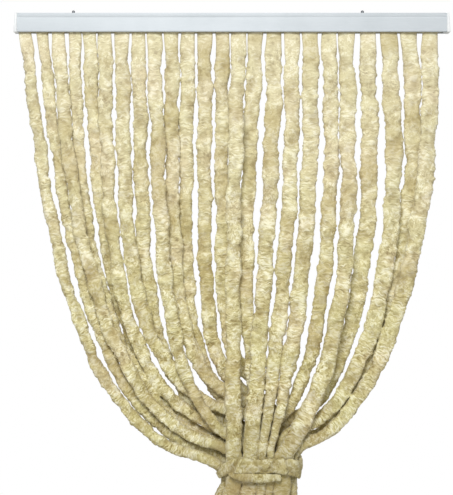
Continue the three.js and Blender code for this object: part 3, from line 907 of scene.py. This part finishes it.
def lay(mesh, strand, number):
    """Lays a blank on a strand's course. Returns each point's freedom and its painted shade."""
    x, y, z = points_of(mesh).T
    angle, radius = np.arctan2(y, x), np.hypot(x, y)
    arc, tie_arc, middle, side, along = rings(strand, 0.5 - z)

    def wave(length, shift):
        return np.sin(CIRCLE * arc / length + shift)

    phase = number * GOLDEN_ANGLE
    below = arc > tie_arc
    entering = ease(arc, tie_arc - NECK_FADE, tie_arc - NECK_SOFT)
    tied = entering * (1 - ease(arc, tie_arc, tie_arc + NECK_FADE))
    loose = 1 - tied
    sway = SWAY * wave(SWAY_LENGTH, 2 * phase) * loose * ease(arc, 0, ROOT_FADE)
    middle += side * (sway * np.where(below, TAIL_SWAY, 1))[:, None]

    full = mix(TOP_FULLNESS, 1, ease(arc, 0, TOP_FADE))
    hung = strand.width * full * (1 + WIDTH_WAVE * wave(WIDTH_WAVE_LENGTH, phase))
    tailed = min(strand.width, strand.snug * TAIL_SPREAD * TAIL_FILL)
    opened = ease(arc - tie_arc, TAIL_SPREAD_START, TAIL_SPREAD_END)
    narrowing = ease(arc, tie_arc - NARROWING[strand.layer], tie_arc - NECK_SOFT)
    narrow = np.where(below, 1 - opened, narrowing)
    crowded = ease(arc, tie_arc - CROWDING_START, tie_arc - CROWDING_END)
    width = mix(np.where(below, tailed, hung), strand.snug, narrow)
    width += NECK_PILE * crowded * (1 - opened)
    thickness = mix(ROOT_THICKNESS, STRAND_THICKNESS, ease(arc, ROOT_FADE / 3, ROOT_FADE))

    tilt = TILT * loose * wave(TURN_LENGTH, 3 * phase)
    cos, sin = np.cos(tilt), np.sin(tilt)
    flat = width / 2 * rounded(np.cos(angle), SQUARENESS)
    deep = thickness / 2 * rounded(np.sin(angle), SQUARENESS)
    across = (flat * cos - deep * sin) * width / np.hypot(width * cos, thickness * sin)
    out = (flat * sin + deep * cos) * thickness / np.hypot(width * sin, thickness * cos)
    dome = END_DOME * (1 - radius**2) * np.where(below, 1, 0)
    place = middle + side * (across * radius)[:, None] + along * dome[:, None]
    place[:, 1] += out * radius
    set_points(mesh, place)

    girth = 2 * (width + thickness) * GIRTH_SHARE
    from_back = (angle / CIRCLE - 0.25) % 1
    keep_yarn_map(mesh, from_back * girth, arc, girth)
    # Painted shade, kept for the finish: at the strand's edges, more where the strands crowd
    # towards the neck, in the tie, and just below it, where the tie shades the tail.
    squeezed = np.where(below, 1 - ease(arc, tie_arc + SQUEEZE_START, tie_arc + SQUEEZE_END), 0)
    at_edge = np.abs(np.cos(angle)) ** EDGE_POWER
    hidden = TIED_SHADE * tied + (EDGE_SHADE + CROWDED_SHADE * crowded) * at_edge
    hidden += SQUEEZED_SHADE * squeezed
    return loose * ease(arc, PILE_START, PILE_FULL) + TIED_FREEDOM * tied, hidden


print("a strand's waves start", round(math.degrees(GOLDEN_ANGLE), 1), "degrees apart")

# %% [markdown]
# The pile gives each strand a lumpy outline. It could be sculpted, but two Displace
# modifiers make it from Blender's own cloud noise in one go: slow lumps where the yarn
# was crushed, and quick, hard-edged tufts. A vertex group holds them back at the root,
# which has to pass the rail's slot, and in the tie. How far a point rose or sank is kept
# as its relief, for the finish to read, and where neighbours or the tie would shade a
# point from the light, a painted shade is taken off its relief, so that the finish
# darkens it. The strand's number is kept for its own wear.

# %% Pile
LUMP_SIZE, LUMP_LEVEL, RAISED_TUFT_SIZE, TUFT_LEVEL = 21, 0.5, 8, 0.32
PILE_CONTRAST, RELIEF_MIDDLE, RELIEF_GAIN = 1.2, 0.5, 1.1


def pile_noise(name, size, basis):
    """Clouds of noise for a Displace modifier, with blobs of a size in millimetres."""
    texture = bpy.data.textures.new(name, "CLOUDS")
    texture.noise_scale = size * MM
    texture.noise_type = basis
    texture.noise_depth = 1
    texture.contrast = PILE_CONTRAST
    return texture


LUMPS = pile_noise("pile_lumps", LUMP_SIZE, "SOFT_NOISE")
TUFTS = pile_noise("pile_tufts", RAISED_TUFT_SIZE, "HARD_NOISE")


def keep(mesh, name, values):
    """Keeps a number for each point of a mesh."""
    mesh.attributes.new(name, "FLOAT", "POINT").data.foreach_set("value", values)


def piled(piece, freedom, lump, tuft, painted_shade=0, number=0):
    """Raises lumps and tufts of so many millimetres and keeps each point's relief, less its
    painted shade.
    """
    mesh = piece.data
    group = piece.vertex_groups.new(name="pile")
    steps = np.round(freedom, 2)
    for step in np.unique(steps):
        group.add(np.flatnonzero(steps == step).tolist(), float(step), "REPLACE")
    plain = points_of(mesh)
    outward = np.array([v.vector[:] for v in mesh.vertex_normals])
    layers = (("lumps", LUMPS, lump, LUMP_LEVEL), ("tufts", TUFTS, tuft, TUFT_LEVEL))
    for name, texture, height, level in layers:
        applied(
            piece, "DISPLACE", name, texture=texture, texture_coords="LOCAL",
            strength=height * MM, mid_level=level, vertex_group="pile",
        )
    rise = ((points_of(mesh) - plain) * outward).sum(axis=1) / ((lump + tuft) / 2 * MM)
    keep(mesh, "relief", RELIEF_MIDDLE + RELIEF_GAIN * rise - painted_shade)
    keep(mesh, "number", np.full(len(rise), float(number)))
    only(piece)
    bpy.ops.object.shade_smooth()
    return float(rise.min()), float(rise.max())


print("lumps and tufts, mm:", LUMP_SIZE, RAISED_TUFT_SIZE)

# %% [markdown]
# Now the strands themselves. On the real curtain all 24 are cut from one yarn, and here
# each is a copy of the one blank with a mesh of its own, laid on its course and given its
# pile. They share a node with the strip, because they are sewn to it. The blank has done
# its work then and is removed.

# %% Strands
for number, strand in enumerate(STRANDS):
    piece = blank.copy()
    piece.data = blank.data.copy()
    bpy.context.collection.objects.link(piece)
    piece.name = piece.data.name = f"strand_{number + 1:02d}"
    freedom, hidden = lay(piece.data, strand, number)
    spread = piled(piece, freedom, lump=7, tuft=3.2, painted_shade=hidden, number=number)
    dressed(piece, yarn_finish, "chenille", "strands")
print("relief of the last strand:", [round(v, 2) for v in spread])
bpy.data.objects.remove(blank)

# %% [markdown]
# The strip is a narrow woven tape. The strands are sewn to it and it lies on the lips
# inside the channel, so only its underside shows, through the slot. Threads could be
# modelled one by one, but at this size a box with softened edges is enough, with a weave
# of two crossing waves in its finish.

# %% Strip
STRIP_WIDTH, STRIP_END_GAP, STRIP_ROUNDING = 20, 2, 0.8
WEFT_PITCH, WARP_PITCH = 1.6 * MM, 1.2 * MM

reach = RAIL_LENGTH / 2 - PLUG_LENGTH - STRIP_END_GAP
strip = block(
    "sewn_strip",
    (-reach, RAIL_MIDDLE_Y - STRIP_WIDTH / 2, STRIP_BOTTOM),
    (reach, RAIL_MIDDLE_Y + STRIP_WIDTH / 2, STRIP_BOTTOM + STRIP_THICKNESS),
)
bevelled(strip, STRIP_ROUNDING, segments=3, angle=40)
smoothed(strip, 40)


def woven_tape():
    tape = Finish("woven_tape", Roughness=0.85)
    here = tape.place()
    weft = (tape.part(here, 0) * (CIRCLE / WEFT_PITCH)).sine()
    warp = (tape.part(here, 1) * (CIRCLE / WARP_PITCH)).sine()
    weave = weft * warp
    tape.colour(tape.ramp(weave * 0.5 + 0.5, [
        (0.2, (176, 164, 128)),
        (0.8, (214, 204, 170)),
    ]))
    tape.bump(weave, 0.2 * MM)
    return tape


dressed(strip, woven_tape(), "chenille", "strands")

# %% [markdown]
# The tie is a length of the same yarn, wound twice round the neck. The first turn is a
# flat band that swells where it goes round the right-hand side and narrows and drops on
# the left. It could be a curve with a bevel, but a band that changes height and leans is
# easier as a torus whose points are moved onto a rounded box. On that box equal angles
# crowd the points at the corners, so they are spaced by length instead. Creases are soft
# troughs, each placed one by one, and one of them is raised into a ridge.

# %% First turn of the tie
TIE_MIDDLE = TIE_TOP - TIE_HEIGHT / 2
TIE_HALF_WIDTH, TIE_HALF_DEPTH, TIE_SQUARENESS, TIE_THICKNESS = 78.5, 39.5, 4.4, 10
TIE_FREEDOM, TIE_PILE = 0.8, 2
RIGHT_SWELL, RIGHT_SINK, RIGHT_SLIM, RIGHT_LEAN = 12, 0.85, 0.12, 0.3
LEFT_DROP, LEFT_PINCH, LEFT_SLIM, LEFT_LEAN = 34, 20, 0.3, 0.45
BAND_MAP_RADIUS, NECK_MAP_RADIUS, CREASE_SHADE = 12, 70, 7
Crease = namedtuple("Crease", "x slant width depth")
TIE_CREASES = [
    Crease(2, 0.6, 6, 4.5),
    Crease(14, 0.5, 5, -3),
    Crease(50, -0.9, 5, 3.8),
    Crease(80, 0.7, 6, 4),
    Crease(114, -0.3, 5, 4.5),
]


def on_neck(angle, out):
    """Points on a rounded box round the neck, grown outwards by out."""
    x = NECK_X + (TIE_HALF_WIDTH + out) * rounded(np.cos(angle), TIE_SQUARENESS)
    y = NECK_Y + (TIE_HALF_DEPTH + out) * rounded(np.sin(angle), TIE_SQUARENESS)
    return x, y


def evenly(share):
    """Angles whose points lie evenly round the neck, for shares of a turn from its left."""
    angle = np.linspace(-np.pi, np.pi, 2001)
    x, y = on_neck(angle, 0)
    run = np.append(0, np.cumsum(np.hypot(np.diff(x), np.diff(y))))
    return np.interp(share, run / run[-1], angle)


def first_turn():
    """The band all round the neck."""
    bpy.ops.object.select_all(action="DESELECT")
    bpy.ops.mesh.primitive_torus_add(
        major_radius=1, minor_radius=0.25, major_segments=260, minor_segments=30
    )
    wrap = settled(bpy.context.object, "tie_first_turn")
    x, y, z = points_of(wrap.data).T
    angle = evenly(0.5 + np.arctan2(y, x) / CIRCLE)
    turn = np.arctan2(z, np.hypot(x, y) - 1)
    front = np.sin(angle) < 0
    swell = RIGHT_SWELL * np.maximum(0, np.cos(angle)) ** 2
    right = np.maximum(0, np.cos(angle)) ** 3
    left = np.maximum(0, -np.cos(angle)) ** np.where(front, 3, 2)
    drop = (LEFT_DROP - LEFT_PINCH / 2) * left + RIGHT_SINK * swell
    height = TIE_HEIGHT - TIE_PILE - (LEFT_PINCH - TIE_PILE) * left + swell
    slim = TIE_THICKNESS * (
        1 - left * (LEFT_SLIM - LEFT_LEAN * np.sin(turn))
        + right * (RIGHT_LEAN * np.sin(turn) - RIGHT_SLIM)
    )
    out = slim / 2 * (1 + rounded(np.cos(turn), 2 + left))
    up = height / 2 * rounded(np.sin(turn), 2 + left)
    band_x = on_neck(angle, out)[0]
    trough = np.zeros(len(out))
    for crease in TIE_CREASES:
        off = (band_x - crease.x - crease.slant * up) / crease.width
        trough += crease.depth * np.exp(-(off**2)) * front
    x, y = on_neck(angle, out - trough * (np.cos(turn) > 0))
    set_points(wrap.data, np.column_stack((x, y, TIE_MIDDLE - drop + up)))
    keep_yarn_map(
        wrap.data, turn % CIRCLE * BAND_MAP_RADIUS, angle % CIRCLE * NECK_MAP_RADIUS,
        girth=CIRCLE * BAND_MAP_RADIUS, length=CIRCLE * NECK_MAP_RADIUS,
    )
    # Painted shade in the creases: their depth is taken off the relief, so the finish darkens
    # them, and the raised ridge comes out lighter.
    piled(wrap, np.full(len(out), TIE_FREEDOM), lump=5, tuft=3, painted_shade=trough / CREASE_SHADE)
    return wrap


dressed(first_turn(), tie_finish, "tie", "tie")

# %% [markdown]
# The second turn shows only as a slim lens, low on the front of the neck, with its ends
# tucked in under the first. It is the same yarn and could be a second torus, but the
# hidden part would run through the strands. So it is a sphere drawn out along the neck:
# its two poles are the tucked ends, where it grows thin and sinks in. Moving the poles to
# the sides can turn it inside out, so its normals are worked out anew.

# %% Second turn of the tie
SECOND_WRAP_HEIGHT, SECOND_WRAP_THICKNESS, SECOND_WRAP_TAPER, SECOND_WRAP_SINK = 19, 10, 0.35, 6
SECOND_WRAP_START, SECOND_WRAP_END, SECOND_WRAP_BLUNT = 0.105, 0.352, 14
LEFT_RISE, LEFT_THINNING, WRAP_MAP_RADIUS = 0.28, 0.2, 8


def second_turn():
    """The slim turn on the front. Share runs from -1 at its left end to 1 at its right."""
    bpy.ops.object.select_all(action="DESELECT")
    bpy.ops.mesh.primitive_uv_sphere_add(segments=28, ring_count=110, radius=1)
    wrap = settled(bpy.context.object, "tie_second_turn")
    x, y, z = points_of(wrap.data).T
    share = 1 - 2 * np.arccos(np.clip(z, -1, 1)) / math.pi
    turn = np.arctan2(y, x)
    fine = np.minimum(1, (1 - np.abs(share)) * SECOND_WRAP_BLUNT) ** 0.5
    angle = evenly(mix(SECOND_WRAP_START, SECOND_WRAP_END, (1 + share) / 2))
    left = np.maximum(0, -share)
    sag = SECOND_WRAP_SAG * (1 - LEFT_RISE * left**2)
    slim = 1 - SECOND_WRAP_TAPER * share**2 - LEFT_THINNING * left**2
    bulge = SECOND_WRAP_THICKNESS / 2 * (1 + fine * rounded(np.cos(turn), 2))
    up = SECOND_WRAP_HEIGHT * slim * fine / 2 * rounded(np.sin(turn), 2)
    x, y = on_neck(angle, bulge - SECOND_WRAP_SINK * share**4)
    set_points(wrap.data, np.column_stack((x, y, TIE_MIDDLE - sag + up)))
    keep_yarn_map(
        wrap.data, turn % CIRCLE * WRAP_MAP_RADIUS, share * NECK_MAP_RADIUS,
        girth=CIRCLE * WRAP_MAP_RADIUS,
    )
    only(wrap)
    bpy.ops.object.mode_set(mode="EDIT")
    bpy.ops.mesh.select_all(action="SELECT")
    bpy.ops.mesh.normals_make_consistent(inside=False)
    bpy.ops.object.mode_set(mode="OBJECT")
    piled(wrap, np.full(len(share), TIE_FREEDOM), lump=2.5, tuft=2)
    return wrap


dressed(second_turn(), tie_finish, "tie", "tie")

# %% [markdown]
# The curtain hangs just clear of a plain pale floor, which lies below the photograph's
# lower edge and shows only in other views. It is part of the studio and not of the
# curtain, so a plane with a plain finish is enough.

# %% Floor
FLOOR_SIZE, FLOOR_HEIGHT = 8, -1.972

bpy.ops.object.select_all(action="DESELECT")
bpy.ops.mesh.primitive_plane_add(size=FLOOR_SIZE, location=(0, 0, FLOOR_HEIGHT))
floor = bpy.context.object
floor.name = "studio_floor"
pale = Finish("pale_floor", Roughness=0.7, Base_Color=as_light((236, 235, 232)))
floor.data.materials.append(pale.material)
print("floor at", round(floor.location.z, 3))

# %% [markdown]
